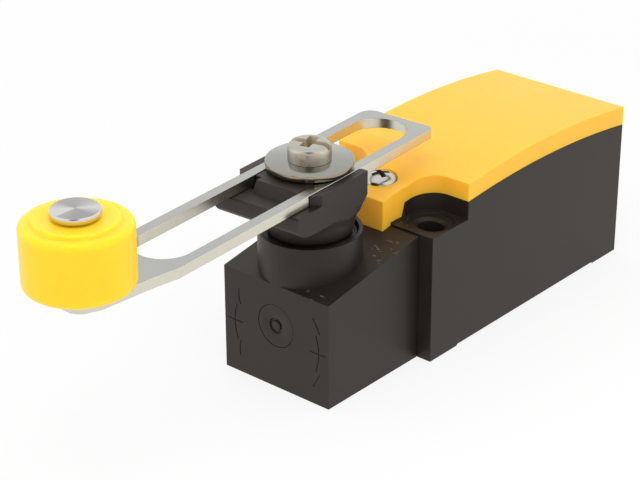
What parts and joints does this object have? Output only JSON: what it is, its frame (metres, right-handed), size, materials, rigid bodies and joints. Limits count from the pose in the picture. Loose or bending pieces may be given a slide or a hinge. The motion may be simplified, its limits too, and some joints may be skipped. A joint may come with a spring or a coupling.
{
  "type": "limit switch",
  "caption": "Compact plastic position switch with a yellow screwed cover, a side-acting rotary head and an adjustable slotted steel lever carrying a yellow roller.",
  "frame": {"origin": "on the flat mounting back, midway between the two mounting slots", "axes": "+Z out of the mounting back towards the cover and the lever shaft, +X along the body towards the cable entry, +Y across the body"},
  "size_m": [0.1438, 0.031, 0.0544],
  "materials": {
    "housing_black": "fine matte texture",
    "cover_yellow": "smooth satin",
    "roller_yellow": "smooth satin",
    "plated_steel": "bright zinc plate, lightly polished",
    "nickel": "nickel plate",
    "steel": "turned and ground",
    "brass": "plain",
    "silver": "silver contact alloy",
    "rubber": "moulded",
    "inner_plastic": "moulded",
    "carrier_plastic": "moulded"
  },
  "bodies": {
    "switch_body": {"housing": "housing_black", "cover": "cover_yellow", "cover_gasket": "rubber", "cover_screw": "nickel", "cover_screw_insert": "brass", "head": "housing_black", "head_plug": "housing_black", "neck_seal": "rubber", "shaft_bush": "brass", "shaft_seal": "rubber", "contact_block": "inner_plastic", "terminal_nc_left": "brass", "terminal_nc_left_clamp": "plated_steel", "terminal_nc_left_screw": "nickel", "terminal_nc_right": "brass", "terminal_nc_right_clamp": "plated_steel", "terminal_nc_right_screw": "nickel", "terminal_no_left": "brass", "terminal_no_left_clamp": "plated_steel", "terminal_no_left_screw": "nickel", "terminal_no_right": "brass", "terminal_no_right_clamp": "plated_steel", "terminal_no_right_screw": "nickel"},
    "lever_hub": {"lever_shaft": "steel", "shaft_cam": "inner_plastic", "lever_holder": "housing_black", "clamp_washer": "nickel", "clamp_screw": "nickel"},
    "lever": {"lever_arm": "plated_steel", "roller_pin": "steel", "roller_washer": "nickel"},
    "roller": {"roller": "roller_yellow"},
    "plunger": {"plunger": "inner_plastic", "plunger_spring": "steel"},
    "contact_slide": {"contact_carrier": "carrier_plastic", "contact_bridge_nc": "silver", "contact_bridge_no": "silver", "contact_spring": "steel", "carrier_spring": "steel"}
  },
  "joints": [
    {"name": "lever_swing", "type": "hinge", "parent": "switch_body", "child": "lever_hub", "pos_m": [-0.0209, 0, 0.03], "axis": [0, 0, 1], "range_deg": [-60, 60], "stiffness_Nm_per_rad": 0.12},
    {"name": "lever_reach", "type": "slide", "parent": "lever_hub", "child": "lever", "axis": [-0.9983, -0.0576, 0], "range_m": [-0.028, 0.0185]},
    {"name": "roller_spin", "type": "hinge", "parent": "lever", "child": "roller", "pos_m": [-0.0789, -0.00334, 0.0465], "axis": [0, 0, 1], "continuous": true},
    {"name": "plunger_slide", "type": "slide", "parent": "switch_body", "child": "plunger", "axis": [1, 0, 0], "range_m": [0, 0.0035], "stiffness_N_per_m": 1500, "springref_m": -0.002, "deforming": ["plunger_spring"]},
    {"name": "contact_slide", "type": "slide", "parent": "switch_body", "child": "contact_slide", "axis": [1, 0, 0], "range_m": [0, 0.0035], "deforming": ["carrier_spring"]}
  ],
  "couplings": [
    {"joint": "contact_slide", "follows": "plunger_slide", "ratio": 1}
  ]
}
